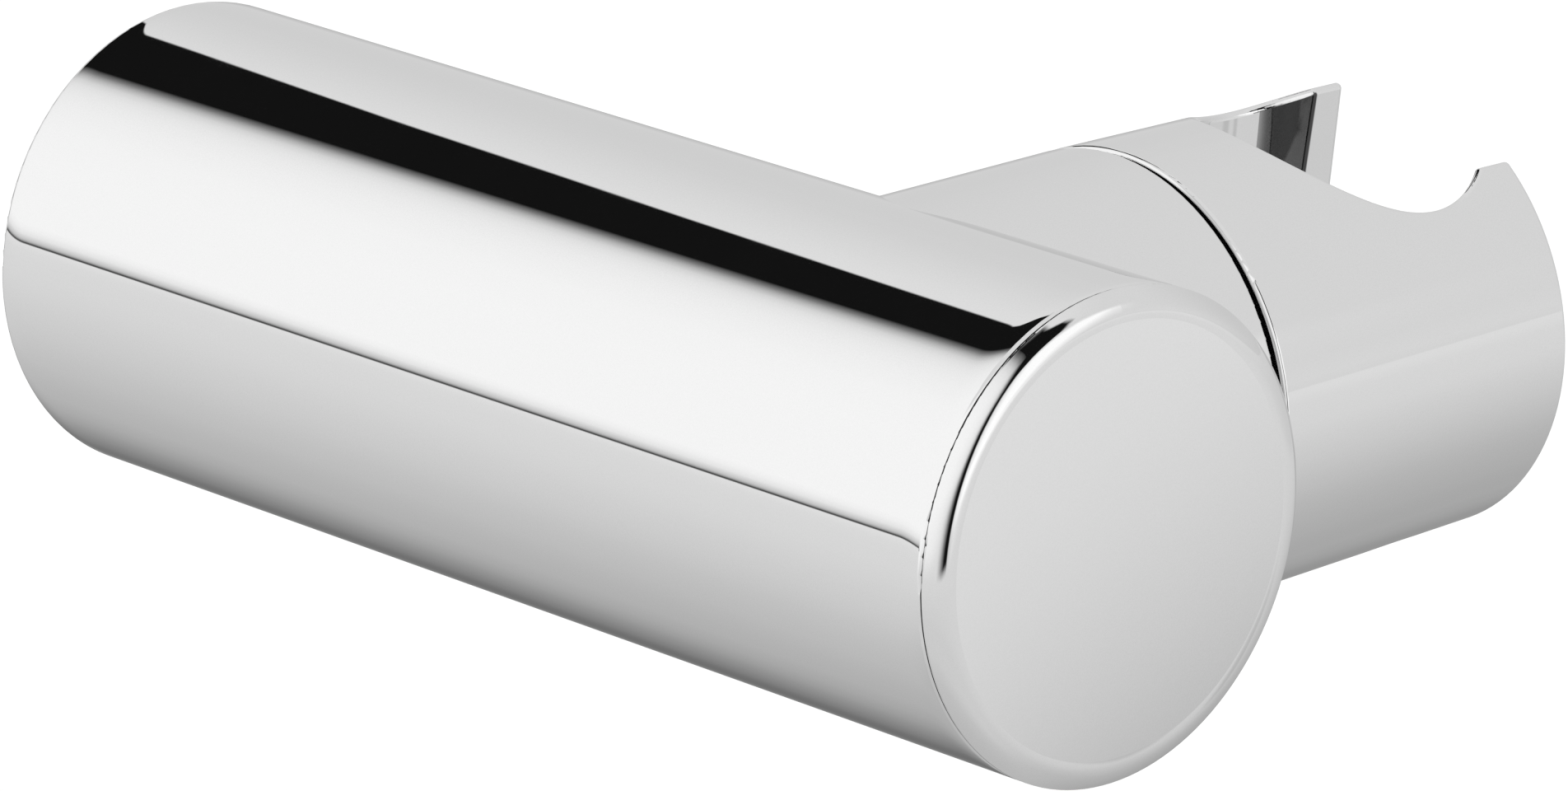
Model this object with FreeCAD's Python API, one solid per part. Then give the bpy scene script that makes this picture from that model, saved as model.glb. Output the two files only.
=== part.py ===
import FreeCAD, Part
import math
import os

from FreeCAD import Vector

# Hand shower bracket: a round arm stands off the wall, a short branch leaves its right side,
# and a forked holder with a conical seat swivels on the end of the branch.
# Millimetres. The origin is the centre of the wall face, +Z is up,
# the arm runs along -Y and the branch along +X.

# Arm, a hollow tube with a branch
reach = 108.3            # wall to the flat front face of the cap
arm_r = 19.0
arm_wall = 2.8
wall_gap = 0.3           # shadow gap between the arm's rear rim and the wall
rim_round = 0.5
branch_step = 0.55       # the branch is this much slimmer than the arm, radius to radius
branch_side_wall = 2.7
branch_end_x = 26.1      # face of the branch at the swivel
branch_end_wall = 4.0    # thickness of the branch's end wall
branch_rim_round = 0.4
pivot_setback = 28.0     # front face of the cap to the swivel axis

# Front cap
cap_dome_depth = 1.0     # the domed edge falls back this far from the flat face
cap_dome_r = 3.2         # section radius of the domed edge
cap_side = 0.25          # straight side between the domed edge and the seam
cap_back_round = 0.12
cap_floor = 0.8          # from the seam back to the floor inside the skirt
skirt_length = 8.0
skirt_wall = 3.0
skirt_clearance = 0.1
skirt_chamfer = 0.5
cap_ring_cord_r = 0.8    # section radius of the O-ring
ring_groove_inset = 3.0  # back of the cap to the middle of the groove
ring_groove_play = 0.2   # groove beyond the cord, on each side
ring_clearance = 0.03

# Wall hub and what holds the arm on it
gasket_thick = 1.0
hub_disc_thick = 3.0
hub_length = 11.0
hub_clearance = 0.2
hub_wall = 3.2
hub_chamfer = 0.5
gasket_inset = 0.3       # gasket edge inside the hub edge
wall_screw_pitch = 16.0
wall_screw_r = 2.5
wall_screw_sink_r = 4.6
grub_y = -8.0
grub_r = 2.5
grub_clearance = 0.05
grub_length = 3.8
grub_socket_flats = 2.5
grub_socket_depth = 2.0
grub_tip_r = 0.4
grub_tip_gap = 0.1       # tip of the screw to the root of the hub's groove
groove_depth = 1.3
groove_root_half = 0.5

# Swivel joint, along the branch axis
seam_gap = 0.5           # dark line between the branch and the holder
shoulder_r = 5.0
shoulder_clearance = 0.05
stud_r = 3.9
thread_clearance = 0.1
stud_engagement = 5.6    # depth of the stud in the holder
stud_hole_spare = 0.3
stud_chamfer = 0.6
shoulder_spare = 0.2     # the shoulder stops this far short of the nut
bush_wall = 1.6
bush_flange_past = 0.05  # the bush's flange reaches this far past the friction disc
bush_flange_thick = 1.2
rub_gap = 0.1            # running gap between flat faces that turn on each other
thrust_washer_r = 9.6
thrust_washer_thick = 1.2
disc_spring_r = 9.0
disc_spring_thick = 0.7
disc_spring_rise = 0.5
washer_clearance = 0.15
nut_flats = 13.0
nut_height = 6.5
nut_collar_height = 1.8
nut_collar_r = 5.7
nut_chamfer = 1.0
nut_chamfer_inset = 0.2  # the chamfer starts this far inside the flats
stud_overrun = 1.6       # stud past the nut
recess_depth = 1.0       # shallow pocket in the holder's back face
recess_wall = 2.4
seal_cord_r = 0.6
stop_pin_r = 1.5
stop_slot_depth = 2.4
stop_slot_land = 0.37    # between the slot and the seal outside it
friction_disc_inset = 0.3
stop_slot_clearance = 0.3
stop_pin_end_gap = 0.5
stop_pin_press = 3.4     # length of the pin inside the branch's end wall

# Travel of the holder about the branch, in degrees from upright, top towards the user
rest_lean = 8.0
lean_back = -45.0
lean_out = 45.0
stop_margin = 0.6        # play left at each end stop, in degrees

# Holder
holder_end_x = 57.9      # face of the fork's lips
holder_draft = 0.6       # radius lost from the back edge to the lips
holder_edge_round = 0.4  # rounding of the back edge
seat_x = 48.1            # axis of the conical seat
seat_mid_r = 10.6        # seat radius at the height of the branch axis
seat_taper = 1.5         # half angle of the seat, degrees
mouth_half = 8.85        # half the width of the mouth between its flat walls
fork_edge_round = 0.42   # rounding of the fork's edges all round

# A cutter runs this far past the face that it opens
cut_past = 2.0
slot_steps = 12          # straight steps in the fan that bounds the stop slot

# Worked-out places
arm_bore_r = arm_r - arm_wall
branch_r = arm_r - branch_step
branch_bore_r = branch_r - branch_side_wall
holder_r = branch_r
cap_front_y = -reach
cap_rim = cap_dome_depth + cap_side
cap_back_y = cap_front_y + cap_rim
cap_face_r = arm_r - math.sqrt(cap_dome_r ** 2 - (cap_dome_r - cap_dome_depth) ** 2)
pivot_y = cap_front_y + pivot_setback
holder_back_x = branch_end_x + seam_gap
recess_floor_x = holder_back_x + recess_depth
branch_inner_x = branch_end_x - branch_end_wall
hub_r = arm_bore_r - hub_clearance
recess_r = holder_r - recess_wall
seal_ring_r = recess_r - seal_cord_r - ring_clearance
stop_slot_half = stop_pin_r + stop_slot_clearance
stop_pin_circle_r = seal_ring_r - seal_cord_r - stop_slot_land - stop_slot_half
bush_bore_r = shoulder_r + shoulder_clearance
bush_outer_r = bush_bore_r + bush_wall
friction_disc_r = stop_pin_circle_r - stop_slot_half - friction_disc_inset
bush_flange_r = friction_disc_r + bush_flange_past
washer_bore_r = shoulder_r + washer_clearance
washer_front_x = branch_inner_x - bush_flange_thick - rub_gap
spring_start_x = washer_front_x - thrust_washer_thick
spring_height = disc_spring_thick + disc_spring_rise
nut_face_x = spring_start_x - 2 * spring_height
stop_centre_angle = 180.0

X_AXIS = Vector(1, 0, 0)
Y_AXIS = Vector(0, 1, 0)
Z_AXIS = Vector(0, 0, 1)
PIVOT = Vector(0, pivot_y, 0)


def turned(outline, start, axis):
    """Solid of revolution: outline is (along the axis, radius) pairs from the start point."""
    points = [start + axis * along + Z_AXIS * radius for along, radius in outline]
    face = Part.Face(Part.makePolygon(points + [points[0]]))
    return face.revolve(start, axis, 360)


def turned_down(outline, start):
    """Solid of revolution about a vertical line, measured downwards from the start point."""
    points = [start - Z_AXIS * along + X_AXIS * radius for along, radius in outline]
    face = Part.Face(Part.makePolygon(points + [points[0]]))
    return face.revolve(start, Z_AXIS, 360)


def ring_on_branch(x_low, x_high, inner_r, outer_r):
    """Flat ring or sleeve about the branch axis."""
    outline = [(x_low, inner_r), (x_high, inner_r), (x_high, outer_r), (x_low, outer_r)]
    return turned(outline, PIVOT, X_AXIS)


def rod_on_branch(x_low, x_high, radius):
    return Part.makeCylinder(radius, x_high - x_low, PIVOT + X_AXIS * x_low, X_AXIS)


def rod_on_arm(y_low, y_high, radius):
    return Part.makeCylinder(radius, y_high - y_low, Vector(0, y_low, 0), Y_AXIS)


def torus_about(centre, axis, ring_r, cord_r):
    return Part.makeTorus(ring_r, cord_r, centre, axis)


def hexagon_prism(flats, height, base, axis):
    """Hexagonal bar from its base centre along its axis."""
    corner_r = flats / math.sqrt(3.0)
    side = Y_AXIS if abs(axis.dot(Y_AXIS)) < 0.5 else X_AXIS
    other = axis.cross(side)
    points = []
    for step in range(7):
        angle = math.radians(60 * step)
        points.append(base + side * (corner_r * math.cos(angle)) + other * (corner_r * math.sin(angle)))
    return Part.Face(Part.makePolygon(points)).extrude(axis * height)


def circles_at(shape, axis_name, place, radius):
    """Round edges of one radius at one place along an axis."""
    found = []
    for edge in shape.Edges:
        curve = edge.Curve
        if not isinstance(curve, Part.Circle):
            continue
        middle = getattr(edge.BoundBox.Center, axis_name)
        flat = getattr(edge.BoundBox, axis_name.upper() + "Length") < 0.01
        if flat and abs(middle - place) < 0.01 and abs(curve.Radius - radius) < 0.01:
            found.append(edge)
    return found


def arm():
    """Tube and branch in one piece, with the hub socket behind and the cap socket in front."""
    back_y = -wall_gap
    tube = rod_on_arm(cap_back_y, back_y, arm_r)
    branch = rod_on_branch(0, branch_end_x, branch_r)
    solid = tube.fuse(branch)
    solid = solid.cut(rod_on_arm(cap_back_y - cut_past, back_y + cut_past, arm_bore_r))
    solid = solid.cut(rod_on_branch(0, branch_inner_x, branch_bore_r))
    rims = circles_at(solid, "y", cap_back_y, arm_r) + circles_at(solid, "y", back_y, arm_r)
    solid = solid.makeFillet(rim_round, rims)
    face_edges = circles_at(solid, "x", branch_end_x, branch_r)
    solid = solid.makeFillet(branch_rim_round, face_edges)
    bush_hole = rod_on_branch(branch_inner_x - cut_past, branch_end_x + cut_past, bush_outer_r)
    pin_hole = stop_pin_rod(branch_end_x - stop_pin_press, branch_end_x + cut_past)
    grub_hole = Part.makeCylinder(grub_r, arm_r, Vector(0, grub_y, -arm_r - cut_past), Z_AXIS)
    return solid.cut(bush_hole).cut(pin_hole).cut(grub_hole)


def front_cap():
    """Polished disc with a domed edge, and a skirt that pushes into the arm, grooved for its O-ring."""
    skirt_r = arm_bore_r - skirt_clearance
    ring_r = arm_bore_r - ring_clearance - cap_ring_cord_r
    groove_r = ring_r - cap_ring_cord_r - ring_clearance
    groove_half = cap_ring_cord_r + ring_groove_play
    groove_mid = cap_rim + ring_groove_inset
    skirt_end = cap_rim + skirt_length
    floor = cap_rim + cap_floor
    start = Vector(0, cap_front_y, 0)

    def at(along, radius):
        return start + Y_AXIS * along + Z_AXIS * radius

    halfway = math.acos(1 - cap_dome_depth / cap_dome_r) / 2
    dome_middle = at(cap_dome_r * (1 - math.cos(halfway)), cap_face_r + cap_dome_r * math.sin(halfway))
    dome = Part.Arc(at(0, cap_face_r), dome_middle, at(cap_dome_depth, arm_r)).toShape()
    outline = [
        (cap_dome_depth, arm_r),
        (cap_rim, arm_r),
        (cap_rim, skirt_r),
        (groove_mid - groove_half, skirt_r),
        (groove_mid - groove_half, groove_r),
        (groove_mid + groove_half, groove_r),
        (groove_mid + groove_half, skirt_r),
        (skirt_end - skirt_chamfer, skirt_r),
        (skirt_end, skirt_r - skirt_chamfer),
        (skirt_end, skirt_r - skirt_wall),
        (floor, skirt_r - skirt_wall),
        (floor, 0),
        (0, 0),
        (0, cap_face_r),
    ]
    rest = Part.makePolygon([at(along, radius) for along, radius in outline])
    solid = Part.Face(Part.Wire([dome] + rest.Edges)).revolve(start, Y_AXIS, 360)
    return solid.makeFillet(cap_back_round, circles_at(solid, "y", cap_back_y, arm_r))


def cap_o_ring():
    centre = Vector(0, cap_back_y + ring_groove_inset, 0)
    return torus_about(centre, Y_AXIS, arm_bore_r - ring_clearance - cap_ring_cord_r, cap_ring_cord_r)


def wall_screw_places():
    half = wall_screw_pitch / 2
    return [Vector(0, 0, half), Vector(0, 0, -half)]


def wall_gasket():
    solid = rod_on_arm(-gasket_thick, 0, hub_r - gasket_inset)
    length = gasket_thick + 2 * cut_past
    for place in wall_screw_places():
        start = place - Y_AXIS * (gasket_thick + cut_past)
        solid = solid.cut(Part.makeCylinder(wall_screw_r, length, start, Y_AXIS))
    return solid


def wall_hub():
    """Cup screwed to the wall: the arm slips over it and its V groove takes the grub screw."""
    back = -gasket_thick
    front = back - hub_length
    floor = back - hub_disc_thick
    root_r = hub_r - groove_depth
    root_half = groove_root_half
    outline = [
        (back, 0),
        (back, hub_r),
        (grub_y + root_half + groove_depth, hub_r),
        (grub_y + root_half, root_r),
        (grub_y - root_half, root_r),
        (grub_y - root_half - groove_depth, hub_r),
        (front + hub_chamfer, hub_r),
        (front, hub_r - hub_chamfer),
        (front, hub_r - hub_wall),
        (floor, hub_r - hub_wall),
        (floor, 0),
    ]
    solid = turned(outline, Vector(0, 0, 0), Y_AXIS)
    sink_depth = wall_screw_sink_r - wall_screw_r
    for place in wall_screw_places():
        start = place + Y_AXIS * (floor - cut_past)
        solid = solid.cut(Part.makeCylinder(wall_screw_r, hub_length, start, Y_AXIS))
        sink = Part.makeCone(wall_screw_sink_r, wall_screw_r, sink_depth, place + Y_AXIS * floor, Y_AXIS)
        solid = solid.cut(sink)
    return solid


def grub_screw():
    """Cone-pointed set screw, standing on its hexagon socket under the arm."""
    groove_wall_r = hub_r - groove_depth
    tip = groove_wall_r + grub_tip_gap
    body_r = grub_r - grub_clearance
    cone_top = tip + (body_r - grub_tip_r)
    outline = [
        (0, 0),
        (0, grub_tip_r),
        (cone_top - tip, body_r),
        (grub_length, body_r),
        (grub_length, 0),
    ]
    solid = turned_down(outline, Vector(0, grub_y, -tip))
    socket_base = Vector(0, grub_y, -tip - grub_length)
    return solid.cut(hexagon_prism(grub_socket_flats, grub_socket_depth, socket_base, Z_AXIS))


def around_pivot(radius, degrees):
    """Point beside the branch axis, its angle measured from straight up towards the wall."""
    angle = math.radians(degrees)
    return Vector(0, math.sin(angle) * radius, math.cos(angle) * radius)


def stop_pin_rod(x_low, x_high):
    base = PIVOT + around_pivot(stop_pin_circle_r, stop_centre_angle) + X_AXIS * x_low
    return Part.makeCylinder(stop_pin_r, x_high - x_low, base, X_AXIS)


def stop_pin():
    tip_x = recess_floor_x + stop_slot_depth - stop_pin_end_gap
    return stop_pin_rod(branch_end_x - stop_pin_press, tip_x)


def pivot_bush():
    """Flanged plastic bush pressed into the branch's end wall from inside."""
    flange_x = branch_inner_x - bush_flange_thick
    outline = [
        (flange_x, bush_bore_r),
        (branch_end_x, bush_bore_r),
        (branch_end_x, bush_outer_r),
        (branch_inner_x, bush_outer_r),
        (branch_inner_x, bush_flange_r),
        (flange_x, bush_flange_r),
    ]
    return turned(outline, PIVOT, X_AXIS)


def thrust_washer():
    return ring_on_branch(spring_start_x, washer_front_x, washer_bore_r, thrust_washer_r)


def disc_spring(high_x, dished_inwards):
    """Coned spring washer between two planes one spring height apart."""
    low_x = high_x - spring_height
    rise = disc_spring_rise
    thick = disc_spring_thick
    inner_low = low_x + (rise if dished_inwards else 0)
    outer_low = low_x + (0 if dished_inwards else rise)
    outline = [
        (inner_low, washer_bore_r),
        (inner_low + thick, washer_bore_r),
        (outer_low + thick, disc_spring_r),
        (outer_low, disc_spring_r),
    ]
    return turned(outline, PIVOT, X_AXIS)


def lock_nut():
    """Hexagon nut with the round collar that holds its locking insert."""
    low_x = nut_face_x - nut_height
    base_x = low_x + nut_collar_height
    solid = hexagon_prism(nut_flats, nut_face_x - base_x, PIVOT + X_AXIS * base_x, X_AXIS)
    small_r = nut_flats / 2 - nut_chamfer_inset
    large_r = nut_flats / math.sqrt(3.0) + nut_chamfer
    chamfer = Part.makeCone(small_r, large_r, nut_chamfer, PIVOT + X_AXIS * base_x, X_AXIS)
    straight = rod_on_branch(base_x + nut_chamfer, nut_face_x, large_r)
    solid = solid.common(chamfer.fuse(straight))
    solid = solid.fuse(rod_on_branch(low_x, base_x, nut_collar_r))
    bore = rod_on_branch(low_x - cut_past, nut_face_x + cut_past, stud_r + thread_clearance)
    return solid.cut(bore).removeSplitter()


def pivot_spindle():
    """Shouldered spindle: one stud in the holder, the plain shoulder in the bush, one stud for the nut."""
    tail_x = nut_face_x - nut_height - stud_overrun
    shoulder_end_x = nut_face_x + shoulder_spare
    head_x = recess_floor_x + stud_engagement
    outline = [
        (tail_x, 0),
        (tail_x, stud_r - stud_chamfer),
        (tail_x + stud_chamfer, stud_r),
        (shoulder_end_x, stud_r),
        (shoulder_end_x, shoulder_r),
        (recess_floor_x, shoulder_r),
        (recess_floor_x, stud_r),
        (head_x - stud_chamfer, stud_r),
        (head_x, stud_r - stud_chamfer),
        (head_x, 0),
    ]
    return turned(outline, PIVOT, X_AXIS)


def friction_disc():
    """Fibre disc in the holder's pocket: it rubs on the branch and holds the holder at any lean."""
    return ring_on_branch(branch_end_x + rub_gap, recess_floor_x, washer_bore_r, friction_disc_r)


def swivel_seal():
    centre = PIVOT + X_AXIS * (recess_floor_x - seal_cord_r)
    return torus_about(centre, X_AXIS, seal_ring_r, seal_cord_r)


def stop_slot():
    """Curved slot in the holder's pocket: the stop pin runs in it from one end stop to the other."""
    inner_r = stop_pin_circle_r - stop_slot_half
    outer_r = stop_pin_circle_r + stop_slot_half
    # The holder leans towards the user, so the pin seems to move towards the wall side at its foot
    first = stop_centre_angle - (rest_lean - lean_back) - stop_margin
    last = stop_centre_angle + (lean_out - rest_lean) + stop_margin
    open_x = holder_back_x - cut_past
    floor_x = recess_floor_x + stop_slot_depth
    band = ring_on_branch(open_x, floor_x, inner_r, outer_r)
    fan = [PIVOT + X_AXIS * open_x]
    for step in range(slot_steps + 1):
        angle = first + (last - first) * step / slot_steps
        fan.append(fan[0] + around_pivot(2 * outer_r, angle))
    sector = Part.Face(Part.makePolygon(fan + [fan[0]])).extrude(X_AXIS * (floor_x - open_x))
    slot = band.common(sector)
    for angle in (first, last):
        base = PIVOT + around_pivot(stop_pin_circle_r, angle) + X_AXIS * open_x
        slot = slot.fuse(Part.makeCylinder(stop_slot_half, floor_x - open_x, base, X_AXIS))
    return slot


def seat_radius(height):
    return seat_mid_r + height * math.tan(math.radians(seat_taper))


def seat_cone(tall):
    """Cutter for the conical seat, which widens upwards."""
    base = Vector(seat_x, 0, -tall)
    return Part.makeCone(seat_radius(-tall), seat_radius(tall), 2 * tall, base, Z_AXIS)


def mouth_slot(tall):
    """Cutter for the straight mouth between the two lips."""
    corner = Vector(seat_x, -mouth_half, -tall)
    return Part.makeBox(holder_end_x + cut_past - seat_x, 2 * mouth_half, 2 * tall, corner)


def holder():
    """Drafted plug whose end is a C-shaped fork with a conical seat, leaning as it was left."""
    length = holder_end_x - holder_back_x
    blank = Part.makeCone(holder_r, holder_r - holder_draft, length, X_AXIS * holder_back_x, X_AXIS)
    blank = blank.makeFillet(holder_edge_round, circles_at(blank, "x", holder_back_x, holder_r))
    tall = holder_r + cut_past
    solid = blank.cut(seat_cone(tall)).cut(mouth_slot(tall))
    solid = solid.makeFillet(fork_edge_round, fork_edges(solid))
    solid.rotate(Vector(0, 0, 0), X_AXIS, rest_lean)
    solid.translate(PIVOT)
    pocket = rod_on_branch(holder_back_x - cut_past, recess_floor_x, recess_r)
    stud_hole_x = recess_floor_x + stud_engagement + stud_hole_spare
    stud_hole = rod_on_branch(holder_back_x, stud_hole_x, stud_r + thread_clearance)
    return solid.cut(pocket).cut(stud_hole).cut(stop_slot())


def fork_edges(plug):
    """Every edge of the plug apart from its back rim and the line where its surface closes."""
    found = []
    for edge in plug.Edges:
        middle = edge.valueAt((edge.FirstParameter + edge.LastParameter) / 2)
        closing_line = isinstance(edge.Curve, Part.Line) and abs(middle.y) < mouth_half / 2
        if not closing_line and middle.x > holder_back_x + recess_depth:
            found.append(edge)
    return found


def build():
    return {
        "arm": arm(),
        "front_cap": front_cap(),
        "cap_o_ring": cap_o_ring(),
        "wall_hub": wall_hub(),
        "wall_gasket": wall_gasket(),
        "grub_screw": grub_screw(),
        "pivot_bush": pivot_bush(),
        "stop_pin": stop_pin(),
        "holder": holder(),
        "pivot_spindle": pivot_spindle(),
        "friction_disc": friction_disc(),
        "swivel_seal": swivel_seal(),
        "thrust_washer": thrust_washer(),
        "disc_spring_inner": disc_spring(spring_start_x, True),
        "disc_spring_outer": disc_spring(spring_start_x - spring_height, False),
        "lock_nut": lock_nut(),
    }


os.makedirs("parts", exist_ok=True)
for name, shape in build().items():
    shape.exportStep("parts/" + name + ".step")
    print(name, "solids", len(shape.Solids), "valid", shape.isValid(), "volume", round(shape.Volume, 2))
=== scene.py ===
import math

import bpy
from mathutils import Matrix, Vector


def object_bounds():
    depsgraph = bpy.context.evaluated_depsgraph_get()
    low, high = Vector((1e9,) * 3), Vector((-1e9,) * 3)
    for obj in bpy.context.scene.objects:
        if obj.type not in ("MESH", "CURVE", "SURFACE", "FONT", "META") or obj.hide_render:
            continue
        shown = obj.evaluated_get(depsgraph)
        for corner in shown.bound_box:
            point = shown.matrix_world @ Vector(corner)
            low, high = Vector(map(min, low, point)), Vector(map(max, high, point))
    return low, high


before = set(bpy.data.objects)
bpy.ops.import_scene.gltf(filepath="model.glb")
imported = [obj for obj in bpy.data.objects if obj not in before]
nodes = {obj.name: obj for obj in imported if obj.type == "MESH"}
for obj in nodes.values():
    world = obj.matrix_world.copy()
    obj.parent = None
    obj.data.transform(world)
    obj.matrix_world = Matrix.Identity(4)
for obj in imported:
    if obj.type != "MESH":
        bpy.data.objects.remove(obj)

# Hand shower bracket in polished chrome. Metres, in the frame's own axes:
# the wall is at y = 0, the arm runs along -Y, the branch and its fork along +X, +Z is up.
cad_low, cad_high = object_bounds()
MM = 0.001

# Camera, fitted to the outlines of the arm, the cap and the fork
CAMERA_AZIMUTH = -42.33
CAMERA_ELEVATION = 17.57
CAMERA_ROLL = -0.27
CAMERA_DISTANCE = 0.749
CAMERA_RIGHT = -0.02497      # from the centre of the cap's face to the middle of the picture
CAMERA_UP = 0.01073
FACE_SPARE = 0.0004          # the fitted centre lies this far in front of the cap's face
CAMERA_SENSOR = 36
CAMERA_LENS = 235.5
CAMERA_RANGE = (0.05, 20)

# Places on the object
CAP_RIM = 1.25 * MM          # from the cap's face back to the seam
SEAM_DARK = 0.2 * MM         # depth of the shadow in the seam behind the cap
BUFFED_LENGTH = 2.8 * MM     # how far the buffing has rounded the arm's ends, and how deep
BUFFED_DEPTH = 0.17 * MM
BUFFED_POWER = 3
PIVOT = Vector((0.0261, -0.0803, 0))
SEAT_X = 0.0481
SEAT_MID_R = 10.6 * MM
SEAT_TAPER = math.radians(1.5)
REST_LEAN = math.radians(8)
LIP_ACROSS = 8.85 * MM       # from the seat's middle plane to each prong's inner face
LIP_START = 5.9 * MM         # from the seat's axis to where those flat faces begin
LIP_HALF_HEIGHT = 15.4 * MM  # up to their rounded edges
REAR_EDGE_X = 26.8 * MM      # where the holder's rounded rear edge ends
REAR_SHADE_Y = -86 * MM      # on the rear edge, the branch's shade begins here

# Shades on the holder, from 0 for none to 1 for full
SEAT_LIGHTER = 0.12          # taken off low in the seat
LIP_SHADE = 0.9
REAR_SHADE = 0.38

# Studio
FLOOR_Z = -0.075
FLOOR_HALF = 3.0
FLOOR_GREY = 0.97
FLOOR_ROUGHNESS = 0.9
FLOOR_GLOW = 0.1
SKY = 0.8                    # light from all round, for everything that isn't a mirror
SUN_STRENGTH = 0.7
SUN_WIDTH = math.radians(25)
SUN_TURN = (math.radians(28), math.radians(-18), 0)
MIRROR_LEVEL = 0.76          # what the plating mirrors, against the white of the backdrop

# Materials. Scales are those of the noise, per metre
CHROME_GREY = 0.87
CHROME_EDGE = 0.9            # tint at grazing angles, which keeps the outlines grey
GRAIN_SCALE = 9000
HAZE_SCALE = 140
UNEVEN_SCALE = 700
UNEVEN_HEIGHT = 0.2e-6
STEEL_TONES = (0.62, 0.62, 0.61)
RING_SCALE = 9000
RING_HEIGHT = 4e-6
RING_TILT = 1.7              # lets the rings run along an axis as well as about it
STAIN_SCALE = 260
MOTTLE_SCALE = 900
SKIN_SCALE = 6000
RUBBER_TONES = (0.03, 0.03, 0.03)
PLASTIC_TONES = (0.82, 0.81, 0.77)

# The surroundings that the plating mirrors, in rows of (place, level). A place is the x, y or z of
# the mirrored direction, and levels are relative to the light grey of the walls. The part in
# front of the object differs from the part behind it, which the arm's long side mirrors.
# Above the horizon, a dark opening has a white panel to its left and pale walls to its right.
# The panel fades into the opening, here in widths of its half shadow
PANEL_FADE = [
    (0, 0.009), (0.5, 0.28), (1, 0.68), (1.5, 0.98), (2, 1.12), (2.5, 1.19), (3.3, 1.25),
    (4.5, 1.30), (6.5, 1.35), (9, 1.37),
]
# The opening in front, by z: its left edge, the width of that edge's half shadow, its right edge
FRONT_START = [
    (-0.2, 0.0), (-0.05, 0.02), (0.15, 0.05), (0.25, 0.08), (0.35, 0.13), (0.45, 0.15),
    (0.55, 0.16), (0.65, 0.11), (0.75, 0.05), (0.9, 0.0),
]
FRONT_HALF = [(-0.2, 0.18), (-0.05, 0.16), (0.05, 0.12), (0.15, 0.08), (0.5, 0.07), (0.8, 0.08)]
FRONT_END = [
    (-0.2, 0.14), (0.05, 0.13), (0.15, 0.14), (0.25, 0.16), (0.35, 0.21), (0.40, 0.29),
    (0.45, 0.42), (0.55, 0.44), (0.65, 0.385), (0.75, 0.25), (0.9, 0.2),
]
# The opening behind, by y: the same three
BACK_START = [
    (0.3, -0.3), (0.42, -0.22), (0.55, -0.12), (0.66, -0.02), (0.69, 0.0), (0.755, 0.0),
    (0.81, 0.05), (0.89, 0.13),
]
BACK_HALF = 0.06
BACK_END = [
    (0.3, 0.2), (0.42, 0.3), (0.48, 0.37), (0.6, 0.3), (0.66, 0.22), (0.68, 0.208),
    (0.70, 0.228), (0.715, 0.251), (0.725, 0.271), (0.735, 0.286), (0.75, 0.334), (0.8, 0.44),
    (0.86, 0.5), (0.9, 0.1),
]
FRONT_EDGE = 0.03            # softness of the right edge
BACK_EDGE = 0.008
DIM_PAST_END = 0.25          # how much of the dark reaches onto the wall beside it in front
# The wall to the right, by x
RIGHT_WALL = [
    (0.2, 1.10), (0.3, 1.085), (0.4, 1.05), (0.5, 1.015), (0.6, 0.985), (0.75, 0.985),
    (0.85, 0.95), (1, 0.88),
]
# A second, smaller panel stands to the right in front, with a slanting left edge
SIDE_PANEL = 1.48
SIDE_SLANT = 1.35
SIDE_START = 0.652
OVERHEAD = 1.03              # the pale ceiling

# Below the horizon the surroundings darken towards the floor, by z
BELOW = [
    (-1, 0.62), (-0.85, 0.66), (-0.74, 0.70), (-0.70, 0.73), (-0.66, 0.755), (-0.62, 0.785),
    (-0.58, 0.815), (-0.54, 0.85), (-0.5, 0.88), (-0.46, 0.905), (-0.38, 0.945), (-0.3, 0.985),
    (-0.22, 1.015), (-0.14, 1.03), (-0.09, 1.05), (-0.06, 1.10),
]
RIGHT_DARKER = 0.2
LEFT_LIGHTER = 0.13
# The thin dark line on the horizon behind, by z, as a factor on the panel above it
HORIZON = [
    (-0.056, 1.0), (-0.0515, 0.3), (-0.047, 0.04), (-0.044, 0.08), (-0.04, 0.25),
    (-0.036, 0.42), (-0.032, 0.52), (-0.026, 0.62), (-0.015, 0.72), (0.0, 0.86), (0.03, 0.96),
    (0.06, 1.0),
]
# A step in the walls just below the horizon in front, by z, seen on the fork
FAINT = [
    (-0.3, 1.0), (-0.14, 1.03), (-0.08, 1.08), (-0.057, 1.08), (-0.05, 0.995), (0.0, 1.02),
    (0.12, 1.0),
]
# Darker ground behind and below the object, by the cosine of the angle to its middle
GROUND_AT = Vector((0.5, 0.7, -0.5)).normalized()
GROUND = [
    (0.7, 1.0), (0.85, 0.93), (0.9, 0.84), (0.935, 0.72), (0.95, 0.64), (0.968, 0.55),
    (0.988, 0.42), (1.0, 0.28),
]
# A little darker still below the fork
FORK_GROUND_AT = Vector((0.69, 0.12, -0.71)).normalized()
FORK_GROUND = [(0.87, 1.0), (0.93, 0.97), (0.97, 0.945), (1.0, 0.915)]

# The small part that the cap's flat face mirrors: its middle and half its size, to the right
# and up, and how its level runs across it
FACE_MIDDLE = (0.663, -0.315)
FACE_HALF = ((0.035, 0.014), (0.045, 0.021))
FACE_LEVEL = 1.02
FACE_SLOPE = (-7.7, 8.7)
FACE_CURVE = (-140, 410, -250)
FACE_LIMITS = (0.78, 1.11)
# Around it, what the cap's domed edge mirrors: soft dark ovals as (middle, size, depth)
DOME_SPOTS = [
    ((0.66, -0.38), (0.042, 0.11), 0.2),
    ((0.78, -0.43), (0.055, 0.1), 0.18),
]


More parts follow.
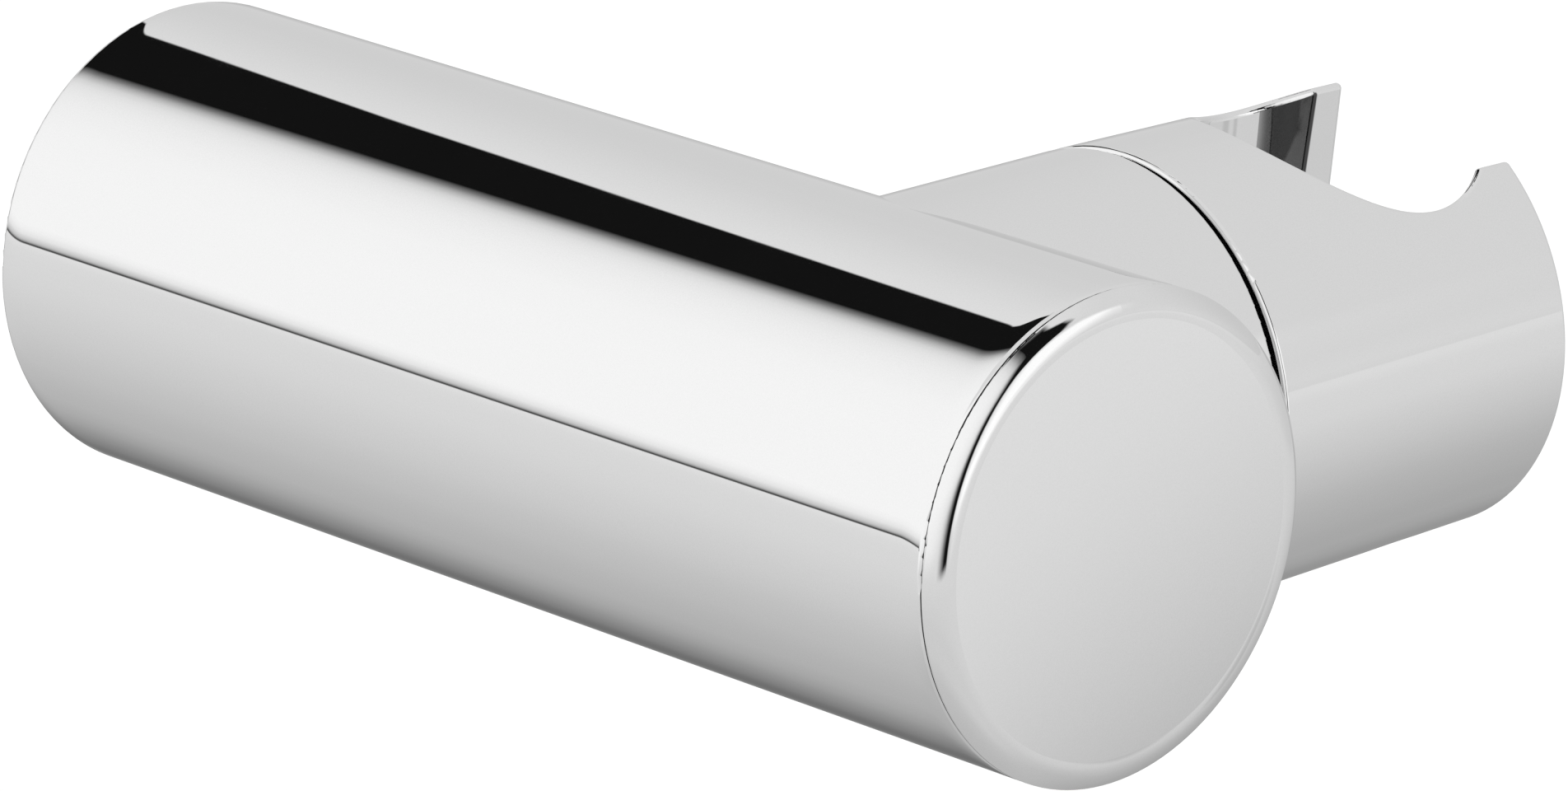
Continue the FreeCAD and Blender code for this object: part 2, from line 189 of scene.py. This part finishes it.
class Wiring:
    """Short names for the nodes that a shader's numbers run through."""

    def __init__(self, tree):
        self.tree = tree

    def node(self, kind):
        return self.tree.nodes.new(kind)

    def link(self, value, socket):
        if isinstance(value, (int, float)):
            socket.default_value = value
        else:
            self.tree.links.new(value, socket)

    def math(self, operation, *values):
        node = self.node("ShaderNodeMath")
        node.operation = operation
        for value, socket in zip(values, node.inputs):
            self.link(value, socket)
        return node.outputs[0]

    def times(self, first, second):
        return self.math("MULTIPLY", first, second)

    def plus(self, first, second):
        return self.math("ADD", first, second)

    def minus(self, first, second):
        return self.math("SUBTRACT", first, second)

    def larger(self, first, second):
        return self.math("MAXIMUM", first, second)

    def absolute(self, value):
        return self.math("ABSOLUTE", value)

    def length(self, first, second):
        squares = self.plus(self.times(first, first), self.times(second, second))
        return self.math("SQRT", squares)

    def remap(self, value, low, high, new_low, new_high, kind="LINEAR"):
        node = self.node("ShaderNodeMapRange")
        node.interpolation_type = kind
        for number, socket in zip((value, low, high, new_low, new_high), node.inputs):
            self.link(number, socket)
        return node.outputs[0]

    def smooth(self, value, low, high):
        """0 at low, 1 at high, with a smooth run between them."""
        return self.remap(value, low, high, 0, 1, "SMOOTHSTEP")

    def mix(self, first, second, share):
        return self.plus(first, self.times(share, self.minus(second, first)))

    def ramp(self, value, stops):
        """Straight runs from stop to stop, each (place, level)."""
        low, high = stops[0][0], stops[-1][0]
        node = self.node("ShaderNodeValToRGB")
        self.link(self.remap(value, low, high, 0, 1), node.inputs["Fac"])
        points = node.color_ramp.elements
        points.remove(points[-1])
        for i, (place, level) in enumerate(stops):
            share = (place - low) / (high - low)
            point = points[0] if i == 0 else points.new(share)
            point.position = share
            point.color = plain(level)
        return node.outputs["Color"]

    def noise(self, vector, scale, detail=2.0, dimensions="3D"):
        node = self.node("ShaderNodeTexNoise")
        node.noise_dimensions = dimensions
        self.link(vector, node.inputs["W" if dimensions == "1D" else "Vector"])
        node.inputs["Scale"].default_value = scale
        node.inputs["Detail"].default_value = detail
        return node.outputs["Fac"]

    def dot(self, vector, fixed):
        node = self.node("ShaderNodeVectorMath")
        node.operation = "DOT_PRODUCT"
        self.link(vector, node.inputs[0])
        node.inputs[1].default_value = fixed
        return node.outputs["Value"]

    def split(self, vector):
        node = self.node("ShaderNodeSeparateXYZ")
        self.link(vector, node.inputs[0])
        return node.outputs[0], node.outputs[1], node.outputs[2]

    def colour(self, level, tones):
        node = self.node("ShaderNodeCombineColor")
        for tone, socket in zip(tones, node.inputs):
            self.link(self.times(level, tone), socket)
        return node.outputs[0]

    def grey(self, level):
        node = self.node("ShaderNodeCombineColor")
        for socket in node.inputs[:3]:
            self.link(level, socket)
        return node.outputs[0]

    def bump(self, height, distance, strength=1.0):
        node = self.node("ShaderNodeBump")
        node.inputs["Strength"].default_value = strength
        node.inputs["Distance"].default_value = distance
        self.link(height, node.inputs["Height"])
        return node.outputs["Normal"]


def plain(level):
    return (level, level, level, 1)


def make_camera():
    """Camera at the photograph's angle, aimed at a point beside the centre of the cap's face."""
    a, e, roll = (math.radians(v) for v in (CAMERA_AZIMUTH, CAMERA_ELEVATION, CAMERA_ROLL))
    back = Vector((math.sin(a) * math.cos(e), -math.cos(a) * math.cos(e), math.sin(e)))
    level = Vector((math.cos(a), math.sin(a), 0))
    rise = back.cross(level)
    right = level * math.cos(roll) + rise * math.sin(roll)
    up = rise * math.cos(roll) - level * math.sin(roll)
    cap_face = Vector((0, cad_low.y - FACE_SPARE, 0))
    data = bpy.data.cameras.new("camera")
    data.sensor_width = CAMERA_SENSOR
    data.lens = CAMERA_LENS
    data.clip_start, data.clip_end = CAMERA_RANGE
    camera = bpy.data.objects.new("camera", data)
    place = cap_face + back * CAMERA_DISTANCE + right * CAMERA_RIGHT + up * CAMERA_UP
    turn = Matrix((right, up, back)).transposed().to_4x4()
    camera.matrix_world = Matrix.Translation(place) @ turn
    bpy.context.scene.collection.objects.link(camera)
    bpy.context.scene.camera = camera


def panel_and_opening(w, x, y, z, front):
    """Upper half of the surroundings: white panel, dark opening, right-hand wall."""
    back_start = w.plus(w.ramp(y, BACK_START), w.remap(z, 0.2, 0.4, 0.4, 0.0, "SMOOTHSTEP"))
    start = w.mix(back_start, w.ramp(z, FRONT_START), front)
    half = w.mix(BACK_HALF, w.ramp(z, FRONT_HALF), front)
    panel = w.ramp(w.math("DIVIDE", w.minus(start, x), half), PANEL_FADE)
    end = w.mix(w.ramp(y, BACK_END), w.ramp(z, FRONT_END), front)
    edge = w.mix(BACK_EDGE, FRONT_EDGE, front)
    past_end = w.minus(x, end)
    beyond = w.remap(past_end, w.times(edge, -1), edge, 0, 1, "SMOOTHSTEP")
    dim = w.times(w.times(w.smooth(past_end, 0.17, 0.0), w.smooth(z, 0.5, 0.35)), front)
    beyond = w.times(beyond, w.minus(1, w.times(dim, DIM_PAST_END)))
    wall = w.mix(w.ramp(x, RIGHT_WALL), SIDE_PANEL, side_panel_share(w, x, z, front))
    wall = w.times(wall, w.mix(1, w.ramp(z, FAINT), front))
    overhead = w.larger(w.times(w.smooth(z, 0.76, 0.86), front), w.smooth(z, 0.84, 0.9))
    return w.mix(w.mix(panel, wall, beyond), OVERHEAD, overhead)


def side_panel_share(w, x, z, front):
    """1 on the smaller panel that stands to the right in front, fading out at its edges."""
    slant = w.plus(w.minus(z, w.times(x, SIDE_SLANT)), SIDE_START)
    share = w.remap(slant, -0.2, 0.12, 0, 1)
    past = w.larger(w.minus(x, 0.5), 0)
    share = w.times(share, w.smooth(w.plus(z, w.times(past, 0.4)), 0.43, 0.33))
    share = w.times(share, w.smooth(z, -0.24, -0.14))
    return w.times(w.times(share, front), w.smooth(x, 0.74, 0.58))


def below_horizon(w, x, z, direction, front):
    """Lower half of the surroundings: pale walls that darken towards the ground."""
    ground = w.ramp(w.dot(direction, GROUND_AT), GROUND)
    fork_ground = w.ramp(w.dot(direction, FORK_GROUND_AT), FORK_GROUND)
    level = w.times(w.ramp(z, BELOW), w.times(ground, fork_ground))
    side = w.times(w.smooth(x, 0.6, 0.95), w.smooth(z, -0.15, -0.7))
    lift = w.times(w.times(w.smooth(x, 0.6, 0.3), w.smooth(z, -0.45, -0.65)), front)
    fall = w.minus(1, w.times(side, RIGHT_DARKER))
    return w.times(level, w.plus(fall, w.times(lift, LEFT_LIGHTER)))


def dark_spot(w, x, z, middle, size, depth):
    """Factor for a soft dark oval in the surroundings."""
    across = w.times(w.minus(x, middle[0]), 1 / size[0])
    along = w.times(w.minus(z, middle[1]), 1 / size[1])
    away = w.length(across, along)
    return w.minus(1, w.times(w.smooth(away, 1.0, 0.3), depth))


def fade_on_cap(w, x, z):
    """Factor for the part of the surroundings that the cap mirrors."""
    right = w.minus(x, FACE_MIDDLE[0])
    up = w.minus(z, FACE_MIDDLE[1])
    slope = w.plus(w.times(right, FACE_SLOPE[0]), w.times(up, FACE_SLOPE[1]))
    curve = w.times(right, w.plus(w.times(up, FACE_CURVE[1]), w.times(right, FACE_CURVE[0])))
    curve = w.plus(curve, w.times(w.times(up, up), FACE_CURVE[2]))
    face = w.plus(w.plus(slope, curve), FACE_LEVEL)
    face = w.math("MINIMUM", w.larger(face, FACE_LIMITS[0]), FACE_LIMITS[1])
    near_across = w.smooth(w.absolute(right), *FACE_HALF[0])
    near_up = w.smooth(w.absolute(up), *FACE_HALF[1])
    left_spot, right_spot = (dark_spot(w, x, z, *spot) for spot in DOME_SPOTS)
    return w.mix(w.times(left_spot, right_spot), face, w.times(near_across, near_up))


def mirrored_level(w, direction):
    """Level of the surroundings in every direction."""
    x, y, z = w.split(direction)
    front = w.smooth(y, 0.35, 0.15)
    upper = panel_and_opening(w, x, y, z, front)
    lower = below_horizon(w, x, z, direction, front)
    line = w.mix(1, w.ramp(z, HORIZON), w.smooth(x, 0.0, -0.3))
    line = w.mix(line, 1, front)
    back_share = w.smooth(z, -0.0535, -0.0515)
    far_left = w.smooth(z, -0.28, -0.06)
    front_share = w.mix(far_left, w.smooth(z, -0.285, -0.24), w.smooth(x, -0.4, -0.25))
    level = w.mix(lower, w.times(upper, line), w.mix(back_share, front_share, front))
    return w.times(level, w.mix(1, fade_on_cap(w, x, z), front))


def make_world():
    """White studio: the backdrop is plain white, and the plating mirrors panels and walls."""
    world = bpy.data.worlds.new("studio")
    bpy.context.scene.world = world
    world.use_nodes = True
    world.node_tree.nodes.clear()
    w = Wiring(world.node_tree)
    coords = w.node("ShaderNodeTexCoord")
    mirrored = w.node("ShaderNodeBackground")
    w.link(w.grey(mirrored_level(w, coords.outputs["Generated"])), mirrored.inputs["Color"])
    mirrored.inputs["Strength"].default_value = MIRROR_LEVEL
    backdrop = w.node("ShaderNodeBackground")
    backdrop.inputs["Color"].default_value = plain(1)
    sky = w.node("ShaderNodeBackground")
    sky.inputs["Color"].default_value = plain(SKY)
    path = w.node("ShaderNodeLightPath")
    seen = w.node("ShaderNodeMixShader")
    w.link(path.outputs["Is Camera Ray"], seen.inputs[0])
    w.link(sky.outputs[0], seen.inputs[1])
    w.link(backdrop.outputs[0], seen.inputs[2])
    metal = w.node("ShaderNodeMixShader")
    by_plating = w.larger(path.outputs["Is Glossy Ray"], path.outputs["Is Transmission Ray"])
    w.link(by_plating, metal.inputs[0])
    w.link(seen.outputs[0], metal.inputs[1])
    w.link(mirrored.outputs[0], metal.inputs[2])
    out = w.node("ShaderNodeOutputWorld")
    w.link(metal.outputs[0], out.inputs["Surface"])


def make_sun():
    """Soft lamp from above, in front and a little to the left, for the shadow on the floor."""
    data = bpy.data.lights.new("sun", "SUN")
    data.energy = SUN_STRENGTH
    data.angle = SUN_WIDTH
    lamp = bpy.data.objects.new("sun", data)
    lamp.rotation_euler = SUN_TURN
    lamp.visible_glossy = False
    bpy.context.scene.collection.objects.link(lamp)


def make_floor():
    """Plain pale floor, large enough to reach past every view."""
    mesh = bpy.data.meshes.new("floor")
    corners = [(-1, -1), (1, -1), (1, 1), (-1, 1)]
    places = [(x * FLOOR_HALF, y * FLOOR_HALF, FLOOR_Z) for x, y in corners]
    mesh.from_pydata(places, [], [(0, 1, 2, 3)])
    floor = bpy.data.objects.new("floor", mesh)
    bpy.context.scene.collection.objects.link(floor)
    material = bpy.data.materials.new("pale_floor")
    material.use_nodes = True
    shader = material.node_tree.nodes["Principled BSDF"]
    shader.inputs["Base Color"].default_value = plain(FLOOR_GREY)
    shader.inputs["Roughness"].default_value = FLOOR_ROUGHNESS
    shader.inputs["Specular IOR Level"].default_value = 0
    shader.inputs["Emission Color"].default_value = plain(1)
    shader.inputs["Emission Strength"].default_value = FLOOR_GLOW
    mesh.materials.append(material)
    floor.visible_glossy = False


def new_material(name):
    material = bpy.data.materials.new(name)
    material.use_nodes = True
    w = Wiring(material.node_tree)
    coords = w.node("ShaderNodeTexCoord").outputs["Object"]
    return material, w, material.node_tree.nodes["Principled BSDF"], coords


def seam_shadow(w, coords):
    """1 in the narrow groove between the arm's rim and the cap, 0 elsewhere."""
    seam_y = cad_low.y + CAP_RIM
    along = w.split(coords)[1]
    return w.smooth(along, seam_y + SEAM_DARK, seam_y + 0.85 * SEAM_DARK)


def seat_shade(w, coords):
    """Shade of the seat: on its user's side, on the lip beside that and along the far lip's edge."""
    x, y, z = w.split(coords)
    along = w.minus(x, SEAT_X)
    out = w.minus(y, PIVOT.y)
    across = w.plus(w.times(out, math.cos(REST_LEAN)), w.times(z, math.sin(REST_LEAN)))
    height = w.minus(w.times(z, math.cos(REST_LEAN)), w.times(out, math.sin(REST_LEAN)))
    wall = w.plus(w.times(height, math.tan(SEAT_TAPER)), SEAT_MID_R)
    past_wall = w.minus(w.length(along, across), wall)
    near_side = w.smooth(across, 0.0, -4 * MM)

    below_edge = w.larger(w.minus(5 * MM, height), 0)
    lighter = w.smooth(w.minus(along, below_edge), 0.5 * MM, -0.5 * MM)
    on_wall = w.smooth(past_wall, 0.15 * MM, 0.03 * MM)
    inside = w.times(on_wall, w.minus(1, w.times(lighter, SEAT_LIGHTER)))

    from_lip = w.absolute(w.minus(w.absolute(across), LIP_ACROSS))
    on_lip = w.smooth(from_lip, 0.1 * MM, 0.05 * MM)
    on_lip = w.times(on_lip, w.smooth(along, LIP_START, LIP_START + 0.3 * MM))
    flat = w.smooth(w.absolute(height), LIP_HALF_HEIGHT, LIP_HALF_HEIGHT - 0.2 * MM)
    on_lip = w.times(on_lip, flat)
    lip = w.times(w.times(w.smooth(along, 12 * MM, 7 * MM), LIP_SHADE), on_lip)
    far_edge = w.times(w.smooth(past_wall, 0.26 * MM, 0.16 * MM), on_lip)
    far_edge = w.times(far_edge, w.smooth(across, 0, 1 * MM))
    return w.larger(w.times(near_side, w.larger(inside, lip)), far_edge)


def holder_shade(w, coords):
    """The seat's shade, and the shade that the branch throws on the rounded edge facing it."""
    x, y, _ = w.split(coords)
    on_rear_edge = w.smooth(x, REAR_EDGE_X, REAR_EDGE_X - 0.1 * MM)
    facing = w.times(on_rear_edge, w.smooth(y, REAR_SHADE_Y, REAR_SHADE_Y - 3 * MM))
    return w.larger(seat_shade(w, coords), w.times(facing, REAR_SHADE))


def buffed_ends(w, coords):
    """Height of the arm's surface, which the buffing wheel has taken down a little at both ends."""
    along = w.split(coords)[1]
    to_cap = w.minus(along, cad_low.y + CAP_RIM)
    to_wall = w.minus(max(corner[1] for corner in nodes["arm"].bound_box), along)
    near_end = w.remap(w.math("MINIMUM", to_cap, to_wall), 0, BUFFED_LENGTH, 1, 0)
    return w.times(w.math("POWER", near_end, BUFFED_POWER), -1)


def chrome(name, shade=None, shade_level=0.03, shade_roughness=0.1, relief=None):
    """Mirror plating with the faint grain and haze of a polished casting."""
    material, w, shader, coords = new_material(name)
    grain = w.remap(w.noise(coords, GRAIN_SCALE, 1), 0.3, 0.7, 0.985, 1.015)
    haze = w.remap(w.noise(coords, HAZE_SCALE, 3), 0.35, 0.65, 0.012, 0.03)
    level = w.times(grain, CHROME_GREY)
    # Painted shade: where the mask is 1, the plating's colour is darkened to shade_level and its
    # roughness raised to shade_roughness.
    if shade is not None:
        mask = shade(w, coords)
        level = w.times(level, w.mix(1, shade_level, mask))
        haze = w.mix(haze, shade_roughness, mask)
    w.link(w.grey(level), shader.inputs["Base Color"])
    w.link(haze, shader.inputs["Roughness"])
    fine = w.bump(w.noise(coords, UNEVEN_SCALE, 2), UNEVEN_HEIGHT)
    if relief is not None:
        w.link(w.bump(relief(w, coords), BUFFED_DEPTH), fine.node.inputs["Normal"])
    w.link(fine, shader.inputs["Normal"])
    shader.inputs["Metallic"].default_value = 1
    shader.inputs["Specular Tint"].default_value = plain(CHROME_EDGE)
    return material


def turned_steel(name, centre, axis):
    """Plain stainless steel with the fine rings that a lathe leaves about its axis."""
    material, w, shader, coords = new_material(name)
    parts = w.split(coords)
    others = [w.minus(parts[i], centre[i]) for i in range(3) if i != axis]
    place = w.plus(w.length(*others), w.times(parts[axis], RING_TILT))
    rings = w.noise(place, RING_SCALE, 2, "1D")
    stain = w.noise(coords, STAIN_SCALE, 3)
    level = w.times(w.remap(rings, 0.3, 0.7, 0.94, 1.04), w.remap(stain, 0.3, 0.7, 0.96, 1.03))
    w.link(w.colour(level, STEEL_TONES), shader.inputs["Base Color"])
    w.link(w.remap(rings, 0.3, 0.7, 0.24, 0.4), shader.inputs["Roughness"])
    w.link(w.bump(rings, RING_HEIGHT, 0.6), shader.inputs["Normal"])
    shader.inputs["Metallic"].default_value = 1
    return material


def moulded(name, tones, low_roughness, high_roughness, relief):
    """Rubber or plastic with the fine texture of its mould."""
    material, w, shader, coords = new_material(name)
    mottle = w.remap(w.noise(coords, MOTTLE_SCALE, 4), 0.3, 0.7, 0.9, 1.08)
    w.link(w.colour(mottle, tones), shader.inputs["Base Color"])
    skin = w.noise(coords, SKIN_SCALE, 3)
    w.link(w.remap(skin, 0.3, 0.7, low_roughness, high_roughness), shader.inputs["Roughness"])
    w.link(w.bump(skin, relief, 0.5), shader.inputs["Normal"])
    return material


def node_middle(name):
    """Centre of a node's own box."""
    corners = [Vector(corner) for corner in nodes[name].bound_box]
    return sum(corners, Vector()) / len(corners)


def dress_cad_nodes():
    """One finish for each node. The swivel's turned pieces share theirs."""
    rubber = moulded("black_rubber", RUBBER_TONES, 0.55, 0.75, 6e-6)
    plastic = moulded("bearing_plastic", PLASTIC_TONES, 0.4, 0.55, 3e-6)
    swivel_steel = turned_steel("swivel_steel", PIVOT, 0)
    finish = {
        "arm": chrome("arm_chrome", seam_shadow, relief=buffed_ends),
        "front_cap": chrome("cap_chrome"),
        "holder": chrome("holder_chrome", holder_shade, shade_level=0.1, shade_roughness=0.22),
        "wall_hub": turned_steel("hub_steel", Vector((0, 0, 0)), 1),
        "grub_screw": turned_steel("screw_steel", node_middle("grub_screw"), 2),
        "cap_o_ring": rubber,
        "swivel_seal": rubber,
        "wall_gasket": rubber,
        "pivot_bush": plastic,
        "friction_disc": plastic,
    }
    for name, node in nodes.items():
        node.data.materials.clear()
        node.data.materials.append(finish.get(name, swivel_steel))


bpy.context.scene.view_settings.view_transform = "Standard"
make_camera()
make_world()
make_sun()
make_floor()
dress_cad_nodes()
